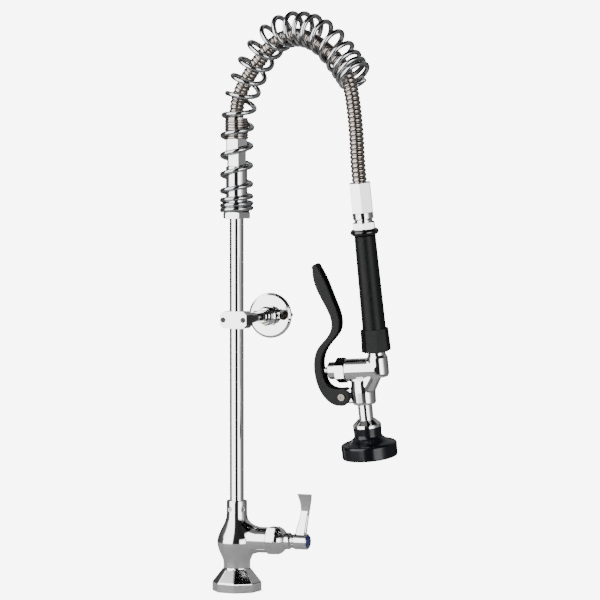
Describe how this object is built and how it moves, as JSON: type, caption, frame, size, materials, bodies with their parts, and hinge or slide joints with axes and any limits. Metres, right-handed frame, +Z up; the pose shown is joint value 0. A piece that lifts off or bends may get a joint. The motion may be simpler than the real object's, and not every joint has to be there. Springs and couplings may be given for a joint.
{
  "type": "pre-rinse faucet",
  "caption": "Deck-mounted pre-rinse faucet with a lever valve, riser, overspring gooseneck, squeeze spray valve and wall bracket",
  "frame": {"origin": "centre of the foot's underside, on the riser's axis, at the mouth of the inlet", "axes": "+Z up along the riser, +X along the shut-off valve's stem towards its handle, +Y towards the wall that the bracket is fixed to"},
  "size_m": [0.2445, 0.2439, 0.6939],
  "materials": {
    "chrome": "polished chrome plate on brass",
    "brass": "machined",
    "steel": "machined stainless steel",
    "dark_screw": "darkened screw heads",
    "spring_steel": "polished stainless spring wire",
    "hose_skin": "close-wound flexible stainless steel",
    "seal": "moulded seal rubber",
    "black_rubber": "moulded, semi-matt",
    "gloss_rubber": "moulded, glossy",
    "grip": "fine matt moulding",
    "lever": "fine matt moulding",
    "blue_cap": "glossy dark blue"
  },
  "bodies": {
    "stand": {"faucet_body": "chrome", "valve_cartridge": "brass", "cartridge_seal": "seal", "bonnet_nut": "chrome", "packing_nut": "chrome", "riser_pipe": "chrome", "riser_seal": "seal", "neck_screws": "steel", "spring_collar": "chrome", "spring_seat": "black_rubber", "riser_sleeve": "chrome", "hose_union": "chrome", "union_nut": "chrome", "union_washer": "seal", "hose_ferrule": "chrome"},
    "tap_handle": {"valve_spindle": "brass", "faucet_handle": "chrome", "handle_screw": "steel", "index_cap": "blue_cap"},
    "gooseneck": {"overspring": "spring_steel", "supply_hose": "hose_skin"},
    "hose_end": {"end_coupling": "chrome", "swivel_adapter": "chrome"},
    "spray_valve": {"hose_washer": "seal", "swivel_nut": "chrome", "grip_ring": "gloss_rubber", "handle_tube": "brass", "grip_sleeve": "grip", "spray_body": "chrome", "valve_bonnet": "chrome", "plunger_guide": "chrome", "plunger_seal": "seal", "return_spring": "spring_steel", "pivot_screw": "steel", "outlet_tube": "chrome", "spray_cone": "chrome", "spray_plate": "steel", "bumper": "black_rubber"},
    "trigger": {"squeeze_lever": "lever"},
    "plunger_stem": {"plunger": "steel", "valve_poppet": "seal"},
    "riser_clamp": {"clamp_front": "chrome", "clamp_rear": "chrome", "clamp_screws": "dark_screw", "bracket_arm": "chrome"},
    "reach_collar": {"arm_collar": "chrome"},
    "wall_plate": {"flange_hub": "chrome", "flange_set_screw": "brass", "wall_flange": "chrome", "wall_screws": "dark_screw"}
  },
  "joints": [
    {"name": "handle_turn", "type": "hinge", "parent": "stand", "child": "tap_handle", "pos_m": [0, 0, 0.0628], "axis": [1, 0, 0], "range_deg": [0, 90]},
    {"name": "gooseneck_swing", "type": "hinge", "parent": "stand", "child": "gooseneck", "pos_m": [0, 0, 0.569], "axis": [0, 0, 1], "range_deg": [-110, 35]},
    {"name": "gooseneck_bend", "type": "hinge", "parent": "gooseneck", "child": "hose_end", "pos_m": [0.0861, -0.04015, 0.667], "axis": [-0.4226, -0.9063, 0], "range_deg": [-8, 25], "stiffness_Nm_per_rad": 4, "springref_deg": 13.75, "deforming": ["overspring", "supply_hose"]},
    {"name": "valve_swivel", "type": "hinge", "parent": "hose_end", "child": "spray_valve", "pos_m": [0.18725, -0.07794, 0.44649], "axis": [-0.0604, -0.1326, 0.9893], "continuous": true},
    {"name": "lever_squeeze", "type": "hinge", "parent": "spray_valve", "child": "trigger", "pos_m": [0.1535, -0.05063, 0.2427], "axis": [0, 0.9911, 0.1328], "range_deg": [0, 7.5], "stiffness_Nm_per_rad": 2.5, "springref_deg": -11.46},
    {"name": "plunger_slide", "type": "slide", "parent": "spray_valve", "child": "plunger_stem", "axis": [0.9982, -0.008, 0.0599], "range_m": [0, 0.0042], "deforming": ["return_spring"]},
    {"name": "clamp_height", "type": "slide", "parent": "stand", "child": "riser_clamp", "axis": [0, 0, 1], "range_m": [-0.15, 0.09]},
    {"name": "bracket_reach", "type": "slide", "parent": "riser_clamp", "child": "reach_collar", "axis": [0, 1, 0], "range_m": [-0.003, 0.012]},
    {"name": "flange_turn", "type": "hinge", "parent": "reach_collar", "child": "wall_plate", "pos_m": [0, 0.1, 0.327], "axis": [0, 1, 0], "continuous": true}
  ],
  "couplings": [
    {"joint": "plunger_slide", "follows": "lever_squeeze", "m_per_rad": 0.0307}
  ]
}
